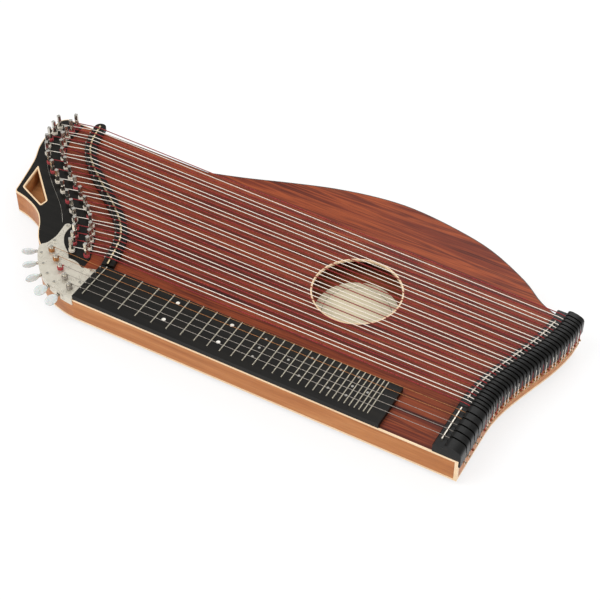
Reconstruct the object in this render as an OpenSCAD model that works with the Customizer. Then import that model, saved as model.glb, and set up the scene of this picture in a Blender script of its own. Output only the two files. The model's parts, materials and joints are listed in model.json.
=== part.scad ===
// Concert zither: a flat box with a fretted fingerboard along the player's edge,
// five melody strings on worm machine heads and a field of accompaniment strings
// on turning tuning pins. Lengths are millimetres. While the pieces are drawn,
// x = 0 is the nut line of the fingerboard and x grows towards the tail,
// y = 0 is the player's edge, and z = 0 is the table under the feet.

/* [Body] */
// Depth of the box, from the top of the soundboard to the underside of the back
body_depth = 30; // [26:0.5:36]
// Thickness of the soundboard, the head plate and the top binding
top_thickness = 2.5; // [2:0.1:3]
// Thickness of the back
back_thickness = 2.5; // [2:0.1:3]
// Thickness of the bent sides
rib_thickness = 3.5; // [3:0.1:4.5]
// Width of the light binding along the edges
binding_width = 1; // [0.8:0.1:2.8]
// Distance from the player's edge to the straight far edge
straight_depth = 249; // [247:1:256]
// How far the curved far edge bulges past the straight one
bulge = 60; // [40:1:75]
// Distance from the nut line to the far left end of the head
head_length = 201; // [199:1:215]
// Diameter of the sound hole inside its ring
sound_hole_d = 97; // [80:1:104]
// Width of the light ring round the sound hole
ring_width = 1.8; // [1.5:0.1:4]
// Distance of the sound hole's centre from the nut line
sound_hole_x = 250; // [235:1:265]
// Distance of the sound hole's centre from the player's edge
sound_hole_y = 160; // [140:1:175]

// Width of the light edging round the opening in the head
hole_edging = 1.8; // [1:0.1:2.5]
// Depth of the opening in the head
hole_depth = 19; // [12:0.5:24]

/* [Fingerboard] */
// Open length of the melody strings
scale_length = 420; // [410:1:430]
// Number of frets
fret_count = 29; // [24:1:29]
// Width of the fingerboard
board_width = 55; // [53:0.5:56]
// Thickness of the fingerboard
board_thickness = 6; // [5:0.1:7.5]
// How far the fingerboard runs on past the last fret
board_end = 16; // [8:0.5:24]
// How far the fingerboard runs on behind the nut line
board_start = 8.5; // [7.5:0.1:9]
// Bare margin between the player's edge and the frets
fret_margin = 7; // [4:0.5:9]
// Width of a fret
fret_width = 1.6; // [1.2:0.1:2.4]
// Height of a fret above the fingerboard
fret_height = 1; // [0.7:0.05:1.2]
// Radius of the round position markers in the lower half
marker_r = 2.2; // [1.2:0.1:2.6]
// Radius of the smaller markers from the octave on
small_marker_r = 1.4; // [1:0.1:1.8]
// Distance of the outer markers from the middle string, in string spacings
marker_spread = 1.5; // [0.5:1:1.5]

/* [Strings] */
// Number of melody strings
melody_count = 5; // [5:1:5]
// Distance of the first melody string from the player's edge
melody_first_y = 13.5; // [12:0.1:14]
// Spacing of the melody strings
melody_pitch = 9.2; // [8.8:0.1:9.3]
// Radius of a melody string
melody_r = 0.35; // [0.2:0.05:0.5]
// Number of accompaniment strings
chord_count = 33; // [29:1:33]
// Distance of the first accompaniment string from the player's edge at the nut line
chord_first_y = 66; // [65:0.5:68]
// Distance of the last accompaniment string from the straight far edge
chord_margin = 8; // [6:0.5:10]
// Distance of the first accompaniment string from the player's edge at the tail
chord_tail_y = 60.5; // [59:0.5:63]
// Spacing of the accompaniment strings at the tail
chord_tail_pitch = 5.03; // [4.9:0.01:5.1]
// Radius of a plain silver accompaniment string
plain_r = 0.4; // [0.25:0.05:0.5]
// Radius of a red wound accompaniment string
wound_r = 0.55; // [0.35:0.05:0.6]

/* [Nut] */
// Width of the black strip under the curved nut
nut_strip_width = 14; // [11:0.5:15]
// Height of the strip above the soundboard
nut_strip_height = 5.4; // [4:0.1:6.5]
// Radius of the curved nut rod
nut_rod_r = 1.3; // [0.9:0.05:1.6]
// Radius of a guide pin
guide_r = 0.8; // [0.5:0.05:1]
// Distance from the nut rod to the guide pins
guide_reach = 5.5; // [4:0.1:6]

/* [Tuning pins] */
// Radius of a tuning pin
pin_r = 2.4; // [2.1:0.05:2.6]
// Length of a tuning pin
pin_length = 40; // [36:0.5:42]
// How far a tuning pin stands above the head plate
pin_stand = 21; // [15:0.5:23]
// Length of the square key head
pin_head = 8; // [6:0.5:10]
// Distance from the nut rod to the near row of pins at its ends
pin_reach = 28; // [26:0.5:30]
// How much further away the near row is at its middle
pin_bow = 11; // [6:0.5:13]
// Distance between the near and the far row
pin_row = 18; // [16:0.5:18]
// Angle of the strings between the nut and the pins
pin_turn = 14; // [11:0.5:15]
// Running clearance round each pin, post and shaft
running = 0.05; // [0.03:0.01:0.08]
// Thickness of the silk serving that is wound on the pins
serving_d = 0.8; // [0.6:0.05:0.85]
// Rise of the winding in one turn
serving_pitch = 1.3; // [1.25:0.05:1.5]
// Turns of string on each pin
serving_turns = 3; // [1:1:3]

/* [Machine heads] */
// Teeth on each worm wheel
wheel_teeth = 14; // [12:1:14]
// Module of the worm gearing
gear_module = 0.6; // [0.55:0.01:0.62]
// Thickness of a worm wheel
wheel_thickness = 2; // [1.6:0.1:2.2]
// Pitch radius of a worm
worm_pitch_r = 2; // [1.9:0.05:2.1]
// Radius of the worm shafts
shaft_r = 1.6; // [1.4:0.05:1.65]
// Radius of the string posts
post_r = 2.4; // [2.1:0.05:2.5]
// How far a post stands above the machine plate
post_stand = 8; // [7:0.5:10]
// Thickness of the machine plate
plate_thickness = 1; // [0.8:0.1:1.4]
// Depth of the plate's turned-down rim below the soundboard top
plate_rim = 8; // [6:0.5:10]
// Depth of the recess for the gearing
recess_depth = 9; // [8.5:0.1:11]
// Length of a button
button_length = 15.5; // [12:0.5:17]
// Width of a button
button_width = 11; // [8:0.5:12]
// Thickness of a button
button_thickness = 3.8; // [3:0.1:5]

/* [Tail] */
// Height of the tail cap's low ledge above the soundboard
ledge_height = 10.6; // [9:0.1:12]
// Height of the tail cap's hump above the soundboard
hump_height = 15.4; // [14:0.1:18]
// Radius of the bridge rods
bridge_r = 1.1; // [0.8:0.05:1.4]
// Width of a string slot in the tail cap
slot_width = 1.8; // [1.5:0.05:2.4]
// Radius of a hitch pin
hitch_r = 1; // [0.7:0.05:1.2]
// How far a hitch pin stands out of the tail
hitch_stand = 3.5; // [2.5:0.1:4]

/* [Feet] */
// Height of the feet
foot_height = 6; // [4:0.5:10]
// Radius of the feet
foot_r = 7; // [5:0.5:9]

/* [Hidden] */
// Levels above the table
back_z = foot_height;
top_z = back_z + body_depth;
board_z = top_z + board_thickness;
rib_low = back_z + back_thickness;
rib_high = top_z - top_thickness;
nut_strip_z = top_z + nut_strip_height;
ledge_z = top_z + ledge_height;
hump_z = top_z + hump_height;
recess_z = top_z - recess_depth;

// Clearances between pieces
touch = 0.08;
cut = 1;
part_gap = 0.1;

// Smooth steps from 0 to 1, and small vector helpers
function clamp01(t) = min(max(t, 0), 1);
function ease3(t) = let (c = clamp01(t)) c * c * (3 - 2 * c);
function ease5(t) = let (c = clamp01(t)) c * c * c * (6 * c * c - 15 * c + 10);
function unit(v) = v / norm(v);
function left_of(v) = [-v[1], v[0]];
function turned(v, a) = [v[0] * cos(a) - v[1] * sin(a), v[0] * sin(a) + v[1] * cos(a)];
function backwards(p) = [for (k = [len(p) - 1:-1:0]) p[k]];

// Curve through the points p, with n steps in each span
function curve_point(a, b, c, d, t) =
    0.5 * (2 * b + (c - a) * t + (2 * a - 5 * b + 4 * c - d) * t * t
    + (3 * b - 3 * c + d - a) * t * t * t);
function curve(p, n) = [
    for (k = [0:len(p) - 2], s = [0:n - 1])
        curve_point(p[max(k - 1, 0)], p[k], p[k + 1], p[min(k + 2, len(p) - 1)], s / n),
    p[len(p) - 1]
];

// A closed outline, drawn anticlockwise, moved inwards by d
function inset(p, d) =
    let (n = len(p))
    [for (k = [0:n - 1])
        let (a = left_of(unit(p[k] - p[(k + n - 1) % n])))
        let (b = left_of(unit(p[(k + 1) % n] - p[k])))
        p[k] + d * (a + b) / (1 + a * b)];

// An open line moved to its left by d
function beside(p, d) =
    let (n = len(p))
    [for (k = [0:n - 1])
        let (a = left_of(unit(p[max(k, 1)] - p[max(k, 1) - 1])))
        let (b = left_of(unit(p[min(k + 1, n - 1)] - p[min(k, n - 2)])))
        p[k] + d * (a + b) / (1 + a * b)];

// Corners rounded over a distance r, with n steps each
function bend(a, b, c, t) = (1 - t) * (1 - t) * a + 2 * t * (1 - t) * b + t * t * c;
function rounded(p, r, n) = [
    for (k = [0:len(p) - 1], s = [0:n])
        let (a = p[(k + len(p) - 1) % len(p)], c = p[(k + 1) % len(p)])
        bend(p[k] + r * unit(a - p[k]), p[k], p[k] + r * unit(c - p[k]), s / n)
];

// Round or oval tube along a line of points: a is the half width across, b the half
// height along up, and sides is the number of its faces
module tube(path, a, b, sides, up = [0, 0, 1]) {
    last = len(path) - 1;
    rings = [for (k = [0:last])
        let (t = unit(path[min(k + 1, last)] - path[max(k - 1, 0)]))
        let (w = unit(cross(t, up)), v = cross(w, t))
        for (s = [0:sides - 1]) path[k] + a * cos(360 * s / sides) * w + b * sin(360 * s / sides) * v];
    skin = [for (k = [0:last - 1], s = [0:sides - 1])
        let (q = k * sides + s, r = k * sides + (s + 1) % sides)
        each [[q, r, r + sides], [q, r + sides, q + sides]]];
    ends = [for (s = [1:sides - 2])
        each [[0, s + 1, s], [last * sides, last * sides + s, last * sides + s + 1]]];
    polyhedron(rings, concat(skin, ends));
}

// Flat slab with the outline p between two levels
module slab(p, low, high) {
    translate([0, 0, low]) linear_extrude(high - low) polygon(p);
}

chord_pitch = (straight_depth - chord_margin - chord_first_y) / (chord_count - 1);

// Curved nut: x of the rod at a distance y from the player's edge
nut_foot_x = -3.5;
nut_foot_y = 62;
nut_lean = 0.238;
nut_sweep = 97.5;
nut_bend_y = 79;
nut_bend_length = straight_depth - 87.5;
nut_low_y = board_width + 3;
nut_high_y = straight_depth + 3;
function nut_x(y) =
    nut_foot_x - nut_lean * (y - nut_foot_y) - nut_sweep * ease5((y - nut_bend_y) / nut_bend_length);
nut_line = [for (k = [0:24]) let (y = nut_low_y + (nut_high_y - nut_low_y) * k / 24) [nut_x(y), y]];

// Curved tail: x of the bridge rods at a distance y from the player's edge
bridge_x = scale_length + 1;
tail_sweep = 35.6;
tail_bend_y = 69;
tail_bend_length = 155;
tail_high_y = chord_tail_y + chord_tail_pitch * (chord_count - 1) + 7;
tail_face = 23;
corner_strip = 3.5;
function tail_x(y) = bridge_x + tail_sweep * ease3((y - tail_bend_y) / tail_bend_length);
tail_rows = concat([0, tail_bend_y], [for (k = [1:11]) tail_bend_y + tail_bend_length * k / 12], [tail_high_y]);

// Outline of the body, anticlockwise from the left end of the player's edge
head_x = -head_length;
far_peak = straight_depth + bulge;
front_left = curve([[-88.5, 51.5], [-81, 38.5], [-70, 25.5], [-58, 15.5], [-43, 7.5], [-24, 2], [-9, 0]], 4);
tail_edge = [for (y = tail_rows) [tail_x(y) + tail_face, y]];
far_curve = curve([
    [tail_x(tail_high_y) + tail_face, tail_high_y],
    [bridge_x + 36, tail_high_y + 0.5],
    [bridge_x + 9, straight_depth - 9],
    [bridge_x - 21, straight_depth + bulge * 0.23],
    [bridge_x - 71, straight_depth + bulge * 0.66],
    [bridge_x - 121, straight_depth + bulge * 0.88],
    [bridge_x - 176, far_peak],
    [bridge_x - 221, straight_depth + bulge * 0.96],
    [bridge_x - 271, straight_depth + bulge * 0.79],
    [bridge_x - 321, straight_depth + bulge * 0.52],
    [bridge_x - 371, straight_depth + bulge * 0.22],
    [7, straight_depth]
], 4);
head_edge = curve([
    [head_x + 8, straight_depth + 2],
    [head_x + 1, straight_depth - 7],
    [head_x + 3, straight_depth - 34],
    [head_x + 8, straight_depth - 57],
    [head_x + 19, straight_depth - 84],
    [head_x + 31, straight_depth - 133]
], 4);
handle_edge = curve([
    [head_x + 33, 113],
    [head_x + 49, 109.5],
    [head_x + 66, 102.5],
    [head_x + 78.5, 94],
    [head_x + 88.5, 82.5],
    [head_x + 96, 70],
    [head_x + 103.5, 60],
    front_left[0] + [-1.5, 2]
], 3);
outline = concat(front_left, tail_edge, [for (k = [1:len(far_curve) - 1]) far_curve[k]],
    head_edge, handle_edge);
inner_line = inset(outline, binding_width);
rib_line = inset(outline, rib_thickness);

// Opening in the head
hole_corners = [
    [head_x + 28, 163],
    [head_x + 35, 123],
    [head_x + 73, 106],
    [head_x + 75, 117]
];
hole_edge_line = rounded(hole_corners, 2.5, 3);
hole_line = rounded(inset(hole_corners, hole_edging), 1.2, 3);

function left_region(line) = concat(
    [[line[0][0], -50]],
    line,
    [[line[len(line) - 1][0], far_peak + 50], [head_x - 50, far_peak + 50], [head_x - 50, -50]]
);

// Strings: nut and bridge points, red wound ones in the order of the chords
red_strings = [0, 2, 5, 8, 11, 13, 16, 19, 22, 25, 27, 29, 32];
function is_red(i) = len([for (r = red_strings) if (r == chord_count - 1 - i) r]) > 0;
function chord_r(i) = is_red(i) ? wound_r : plain_r;
function chord_end(i) = let (y = chord_tail_y + chord_tail_pitch * i) [tail_x(y), y];
function chord_slope(i) = let (e = chord_end(i)) (e[1] - chord_first_y - chord_pitch * i) / e[0];
function chord_start(i) =
    let (y0 = chord_first_y + chord_pitch * i)
    let (y1 = y0 + chord_slope(i) * nut_x(y0))
    let (y2 = y0 + chord_slope(i) * nut_x(y1))
    [nut_x(y2), y2];
function melody_y(j) = melody_first_y + melody_pitch * j;
nut_rod_z = nut_strip_z + nut_rod_r;
bridge_z = ledge_z + bridge_r;
nut_bar_height = fret_height + 0.6;

// Tuning pins: two rows, and the strings turn towards them behind the nut
pull = [-cos(pin_turn), -sin(pin_turn)];
serving_inner = pin_r + running + serving_d / 2;
serving_steps = 9;
serving_r = serving_inner / cos(180 / serving_steps);
serving_high = top_z + 6;
function pin_distance(i) = pin_reach + pin_bow * sin(180 * i / (chord_count - 1)) + (i % 2) * pin_row;
function pin_shift(i) = i % 2 == 0 ? serving_r * pin_distance(i) / (pin_distance(i) + pin_row) : 0;
function pin_centre(i) = chord_start(i) + pin_distance(i) * pull - pin_shift(i) * left_of(pull);

// Where the black head plate ends and the soundboard begins, along the near row of pins
plate_margin = 4.5;
border_foot_x = -24;
plate_border = concat(
    [[border_foot_x, melody_first_y]],
    [for (i = [0:2:chord_count - 1]) pin_centre(i) + [plate_margin, 0]],
    [[nut_x(nut_high_y) - pin_reach + plate_margin, far_peak]]
);
function pin_name(i) = str("tuning_pin_", i < 9 ? "0" : "", i + 1);

// The point where a string from s touches the winding round c, and the string's free end
function touch_angle(s, c, r) =
    let (v = s - c) atan2(v[1], v[0]) + acos(r / norm(v));
function touch_point(s, c, r) = let (a = touch_angle(s, c, r)) c + r * [cos(a), sin(a)];
string_end_gap = 3.2;
head_flat = pin_r * 1.6;
function string_end(s, c, r) = let (t = touch_point(s, c, r)) t + string_end_gap * unit(s - t);

// Machine heads: posts in a row, worms fanned out across the corner
post_first = [-71.1, 49.8];
post_step = [12.7, -9.5];
fan_first = 211;
fan_step = 12;
button_reach = [34.5, 37, 38.5, 35.5, 29.5];
button_roll = [72, 72, 78, -38, -33];
worm_lead = PI * gear_module;
wheel_pitch_r = gear_module * wheel_teeth / 2;
wheel_root_r = wheel_pitch_r - gear_module * 1.15;
wheel_tip_r = wheel_pitch_r + gear_module * 0.85;
wheel_tooth = gear_module * 0.95;
gear_distance = wheel_pitch_r + worm_pitch_r;
worm_z = top_z - 4;
thread_tip_r = worm_pitch_r + gear_module * 0.9;
thread_core_r = worm_pitch_r - gear_module * 1.15;
thread_half = 2.6;
post_serving_inner = post_r + running + serving_d / 2;
post_serving_r = post_serving_inner / cos(180 / serving_steps);
post_serving_high = top_z + plate_thickness + 5;
pivot_r = 1.5;
frame_thickness = 1;
lug_thickness = 2.4;
lug_width = 5;
lug_reach = 5;
slot_clear = 0.9;
function post_at(k) = post_first + k * post_step;
function fan(k) = fan_first + fan_step * k;
function outward(k) = [cos(fan(k)), sin(fan(k))];
function worm_at(k) = post_at(k) - gear_distance * left_of(outward(k));

// Recess for the gearing, in from the player's corner
recess_back = [[-12, 4], [-12, 22], [-27, 36], [-44, 47.5], [-59, 58], [-75, 69.5], [-81.5, 65]];
recess_line = concat([for (p = beside(front_left, rib_thickness)) if (p[0] < -13) p], recess_back);

// Machine plate: its edge along the corner, then round the rear and the tip
plate_tip = [-80.4, 92.4];
plate_tip_r = 4;
plate_edge = beside(front_left, -(plate_thickness + part_gap));
plate_outline = concat(
    plate_edge,
    [[-board_start - 1, 50.5]],
    curve([[-18, 47.5], [-23, 46.5], [-28, 44.8], [-35, 48.6], [-42, 50.2], [-49, 50]], 3),
    curve([[-55, 57.5], [-65, 65], [-73, 75], [-76.3, 84], [-76.4, 92]], 3),
    [for (a = [0:30:180]) plate_tip + plate_tip_r * [cos(a), sin(a)]],
    curve([[-82.8, 82], [-81.8, 72], [-84, 60], [-88, 55]], 3)
);

// Tail cap: its section from the ledge over the hump and down the end
cap_low = top_z - 8;
cap_section = [
    [-5.5, top_z],
    [-5.5, ledge_z - 1],
    [-4.5, ledge_z],
    [5.5, ledge_z],
    [6.5, hump_z - 1.4],
    [8, hump_z - 0.3],
    [11, hump_z],
    [16, hump_z - 0.9],
    [21, hump_z - 2.7],
    [tail_face + 0.8, hump_z - 4.8],
    [tail_face + 1.8, hump_z - 7.6],
    [tail_face + 2, hump_z - 12],
    [tail_face + 2, cap_low],
    [tail_face + part_gap, cap_low],
    [tail_face + part_gap, top_z]
];

// Where the strings run at the tail, as distances past the rods and levels
hitch_z = top_z - 14;
function tail_route(r) = [
    [0, bridge_z + bridge_r + r + touch],
    [8, ledge_z + 1.4],
    [16, ledge_z + 0.4],
    [20.5, ledge_z - 2],
    [23.6, ledge_z - 6],
    [24.6, top_z],
    [24.6, hitch_z + hitch_r + touch]
];
slot_floor = 0.8;
hitch_depth = 9;
guide_depth = 2;
chord_guide_stand = 4;
melody_guide_stand = 3;
driven = 0.03;

// Feet and inner bars
foot_places = [[-45, 30], [bridge_x + 3, 16], [bridge_x - 176, far_peak - 24]];
brace_width = 8;
brace_height = 10;
brace_places = [115, 170, 325, 372];
back_brace_places = [60, 300];
block_reach = 18;
tail_block_width = 30;

// Frets and the spaces that carry position markers
function fret_x(n) = scale_length * (1 - pow(2, -n / 12));
marker_spaces = [[5, 2], [9, 2], [12, 3], [15, 1], [17, 2], [21, 2], [24, 3], [27, 1]];
marker_depth = 1;
octave = 12;
function marker_side(k, count) = count == 1 ? 0 : marker_spread * (2 * k / (count - 1) - 1);
board_length = fret_x(fret_count) + board_end;

// The finished part stands with its origin at the bottom centre of its box
plan_centre = [
    (head_x + tail_x(tail_high_y) + tail_face + hitch_stand) / 2,
    (far_peak - 19) / 2
];

// Space that the gearing and its shafts take out of the wood
module gear_space() {
    slab(recess_line, recess_z, top_z + cut);
    for (k = [0:melody_count - 1])
        translate([worm_at(k)[0], worm_at(k)[1], 0])
            rotate([0, 0, fan(k)])
                translate([0, -shaft_r - slot_clear, worm_z - shaft_r - slot_clear])
                    cube([30, 2 * (shaft_r + slot_clear), top_z]);
}

// Space of the opening in the head, within the given outline
module opening_space(line) {
    slab(line, top_z - hole_depth, top_z + cut);
}

module pin_holes() {
    for (i = [0:chord_count - 1])
        translate([pin_centre(i)[0], pin_centre(i)[1], top_z + pin_stand - pin_length - part_gap])
            cylinder(r = pin_r + running, h = pin_length, $fn = 32);
}

// Small pins driven in beside the strings, or with a margin the holes for them
module guide_pin(p, base, high, margin) {
    translate([p[0], p[1], base - guide_depth - margin])
        cylinder(r = guide_r + margin, h = high - base + guide_depth + margin, $fn = 16);
}

module chord_guides(margin, high) {
    for (i = [0:chord_count - 1]) {
        aim = unit(string_end(chord_start(i), pin_centre(i), serving_r) - chord_start(i));
        guide_pin(chord_start(i) + guide_reach * aim + (guide_r + chord_r(i) + touch) * left_of(aim),
            nut_strip_z, high, margin);
    }
}

module melody_guides(margin, high) {
    for (j = [0:melody_count - 1])
        guide_pin([-guide_reach, melody_y(j) - guide_r - melody_r - touch], board_z, high, margin);
}

// The row of hitch pins in the tail, or the holes for them
module hitch_row(margin, length) {
    for (e = concat([for (j = [0:melody_count - 1]) [bridge_x, melody_y(j)]],
        [for (i = [0:chord_count - 1]) chord_end(i)]))
        translate([e[0] + tail_face - hitch_depth - margin, e[1], hitch_z])
            rotate([0, 90, 0])
                cylinder(r = hitch_r + margin, h = length + margin, $fn = 16);
}

module soundboard() {
    color("saddlebrown")
        difference() {
            slab(inner_line, rib_high, top_z);
            slab(left_region(plate_border), 0, top_z + cut);
            gear_space();
            translate([sound_hole_x, sound_hole_y, rib_high - cut])
                cylinder(r = sound_hole_d / 2 + ring_width, h = top_thickness + 2 * cut, $fn = 96);
        }
}

module head_plate() {
    color("#2b2927")
        difference() {
            intersection() {
                slab(inner_line, rib_high, top_z);
                slab(left_region(plate_border), 0, top_z + cut);
            }
            slab(concat(beside(front_left, -rib_thickness), recess_back), 0, top_z + cut);
            opening_space(hole_edge_line);
            pin_holes();
        }
}

module back_plate() {
    color("peru")
        slab(inner_line, back_z, rib_low);
}

// A thin saw cut through the sides at a corner
module corner_cut(p, angle) {
    translate([p[0], p[1], 0])
        rotate([0, 0, angle])
            translate([-10, -part_gap / 2, 0])
                cube([20, part_gap, top_z]);
}

// Space for the square strip in the corner of the player's side and the tail
module tail_corner_space() {
    width = corner_strip + part_gap;
    translate([tail_edge[0][0] - width, -cut, 0])
        cube([width + cut, width + cut, top_z]);
}

module side_ribs() {
    color("#c08455")
        difference() {
            slab(outline, rib_low, rib_high);
            slab(rib_line, 0, top_z);
            gear_space();
            hitch_row(driven, hitch_depth + cut);
            corner_cut(front_left[0], 20);
            tail_corner_space();
            corner_cut(far_curve[0], 45);
            corner_cut(handle_edge[0], 40);
        }
}

module pin_block() {
    color("#b98b5a")
        difference() {
            intersection() {
                slab(inset(rib_line, part_gap), rib_low, rib_high);
                slab(left_region([for (p = nut_line) p + [block_reach, 0]]), 0, top_z);
            }
            gear_space();
            opening_space(hole_line);
            pin_holes();
        }
}

// Bars across the box: under the soundboard, and shorter ones on the back
module braces() {
    for (x = brace_places)
        translate([x, 0, rib_high - brace_height])
            cube([brace_width, far_peak, brace_height]);
    for (x = back_brace_places)
        translate([x, 0, rib_low])
            cube([brace_width, far_peak, brace_height]);
}

module inner_frame() {
    room = inset(rib_line, part_gap);
    color("#c9a271") {
        intersection() {
            slab(room, 0, top_z);
            braces();
        }
        difference() {
            intersection() {
                slab(room, rib_low, rib_high);
                slab(concat([for (p = tail_edge) p - [rib_thickness + tail_block_width, 0]],
                    [[far_peak + scale_length, tail_high_y + 20], [far_peak + scale_length, 0]]), 0, top_z);
            }
            hitch_row(driven, hitch_depth + cut);
        }
    }
}

// Light strips along the top and bottom edges, the tail corner, and both openings
module bindings() {
    color("#e6d3b4") {
        difference() {
            slab(outline, rib_high, top_z);
            slab(inner_line, 0, top_z + cut);
            gear_space();
        }
        difference() {
            slab(outline, back_z, rib_low);
            slab(inner_line, 0, top_z);
        }
        translate([tail_edge[0][0] - corner_strip, 0, rib_low])
            cube([corner_strip, corner_strip, rib_high - rib_low]);
        difference() {
            slab(hole_edge_line, rib_high, top_z);
            slab(hole_line, 0, top_z + cut);
        }
        translate([sound_hole_x, sound_hole_y, rib_high])
            difference() {
                cylinder(r = sound_hole_d / 2 + ring_width, h = top_thickness, $fn = 96);
                translate([0, 0, -cut])
                    cylinder(r = sound_hole_d / 2, h = top_thickness + 2 * cut, $fn = 96);
            }
    }
}

// Round recesses, or the markers that fill them
module marker_discs(extra, high) {
    for (m = marker_spaces)
        if (m[0] <= fret_count)
            for (k = [0:m[1] - 1])
                translate([
                    (fret_x(m[0]) + fret_x(m[0] - 1)) / 2,
                    melody_y((melody_count - 1) / 2 + marker_side(k, m[1])),
                    board_z - marker_depth
                ])
                    cylinder(r = (m[0] < octave ? marker_r : small_marker_r) + extra, h = high, $fn = 32);
}

module fretboard() {
    color("#262422")
        difference() {
            translate([-board_start, 0, top_z])
                cube([board_start + board_length, board_width, board_thickness]);
            marker_discs(running, marker_depth + cut);
            melody_guides(driven, board_z + cut);
        }
}

// One crowned bar across the fingerboard, its front end rounded
module fret_bar(width, height) {
    translate([0, board_width - 1, 0])
        rotate([90, 0, 0])
            linear_extrude(board_width - 1 - fret_margin)
                intersection() {
                    translate([0, height - width * 0.55])
                        circle(r = width * 0.55, $fn = 32);
                    translate([-width / 2, 0])
                        square([width, height + 1]);
                }
}

module frets_and_markers() {
    color("silver")
        translate([0, 0, board_z]) {
            for (n = [1:fret_count])
                translate([fret_x(n), 0, 0]) fret_bar(fret_width, fret_height);
            fret_bar(fret_width, nut_bar_height);
        }
    color("white") marker_discs(0, marker_depth);
}

module nut_strip() {
    half = nut_strip_width / 2;
    top_end = nut_line[24];
    color("#262422")
        difference() {
            union() {
                slab(concat(beside(nut_line, -half), backwards(beside(nut_line, half))), top_z, nut_strip_z);
                translate([top_end[0], top_end[1], top_z])
                    cylinder(r = half, h = nut_strip_height, $fn = 48);
            }
            chord_guides(driven, nut_strip_z + cut);
        }
}

module string_rods() {
    color("goldenrod") {
        tube([for (p = nut_line) [p[0], p[1], nut_rod_z]], nut_rod_r, nut_rod_r, 8);
        tube([for (y = [for (r = tail_rows) max(r, melody_y(melody_count - 1) + 5.5)])
            if (y > tail_bend_y - 1 && y < tail_high_y - 2) [tail_x(y), y, bridge_z]],
            bridge_r, bridge_r, 8);
        translate([bridge_x, melody_first_y - 4.5, bridge_z])
            rotate([-90, 0, 0])
                cylinder(r = bridge_r, h = melody_pitch * (melody_count - 1) + 9, $fn = 24);
    }
}

// The cap's body: its section swept along the curved tail
module cap_sweep() {
    n = len(cap_section);
    rows = concat([part_gap], [for (k = [1:len(tail_rows) - 1]) tail_rows[k]]);
    last = len(rows) - 1;
    points = [for (y = rows, p = cap_section) [tail_x(y) + p[0], y, p[1]]];
    skin = [for (k = [0:last - 1], s = [0:n - 1])
        let (q = k * n + s, r = k * n + (s + 1) % n)
        each [[q, r + n, r], [q, q + n, r + n]]];
    polyhedron(points, concat(skin, [[for (s = [0:n - 1]) s]], [[for (s = [n - 1:-1:0]) last * n + s]]));
}

// A slot for one string, open upwards and outwards
module string_slot(x, y) {
    route = tail_route(wound_r);
    floor_line = beside([for (k = [1:5]) route[k]], -slot_floor);
    translate([x, y + slot_width / 2, 0])
        rotate([90, 0, 0])
            linear_extrude(slot_width)
                polygon(concat(
                    [[5.5, hump_z + 5], [5.5, floor_line[0][1]]],
                    floor_line,
                    [[floor_line[4][0], cap_low - cut], [tail_face + 8, cap_low - cut], [tail_face + 8, hump_z + 5]]
                ));
}

module tail_cap() {
    color("#262422")
        difference() {
            cap_sweep();
            for (i = [0:chord_count - 1]) string_slot(chord_end(i)[0], chord_end(i)[1]);
            for (j = [0:melody_count - 1]) string_slot(bridge_x, melody_y(j));
        }
}

module string_pins() {
    color("lightgray") {
        chord_guides(0, nut_strip_z + chord_guide_stand);
        melody_guides(0, board_z + melody_guide_stand);
        hitch_row(0, hitch_depth + hitch_stand);
    }
}

// The strings, whole from their winding to the hitch pins
module chord_string(i) {
    r = chord_r(i);
    s = chord_start(i);
    e = chord_end(i);
    free = string_end(s, pin_centre(i), serving_r);
    tube(concat(
        [[free[0], free[1], serving_high], [s[0], s[1], nut_rod_z + nut_rod_r + r + touch]],
        [for (p = tail_route(r)) [e[0] + p[0], e[1], p[1]]]
    ), r, r, 6, [0, 1, 0]);
}

module melody_string(j) {
    y = melody_y(j);
    s = [0, y];
    free = string_end([-guide_reach, y], post_at(melody_count - 1 - j), post_serving_r);
    bar_z = board_z + nut_bar_height + melody_r + touch;
    tube(concat(
        [[free[0], free[1], post_serving_high], [-guide_reach, y, bar_z - 0.6], [0, y, bar_z]],
        [for (p = tail_route(melody_r)) [bridge_x + p[0], y, p[1]]]
    ), melody_r, melody_r, 6, [0, 1, 0]);
}

module strings() {
    for (i = [0:chord_count - 1])
        color(is_red(i) ? "firebrick" : "silver") chord_string(i);
    for (j = [0:melody_count - 1])
        color(j == melody_count - 1 ? "peru" : "silver") melody_string(j);
}

module machine_plate() {
    color("#cdc8be")
        difference() {
            union() {
                slab(plate_outline, top_z, top_z + plate_thickness);
                slab(concat(plate_edge, backwards(beside(front_left, -part_gap))),
                    top_z - plate_rim, top_z + plate_thickness);
            }
            for (k = [0:melody_count - 1]) {
                translate([post_at(k)[0], post_at(k)[1], top_z - cut])
                    cylinder(r = post_r + running, h = plate_thickness + 2 * cut, $fn = 32);
                translate([worm_at(k)[0], worm_at(k)[1], 0])
                    rotate([0, 0, fan(k)])
                        translate([8, -shaft_r - slot_clear, top_z - plate_rim - cut])
                            cube([24, 2 * (shaft_r + slot_clear),
                                worm_z + shaft_r + slot_clear - top_z + plate_rim + cut]);
            }
        }
}

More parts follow.
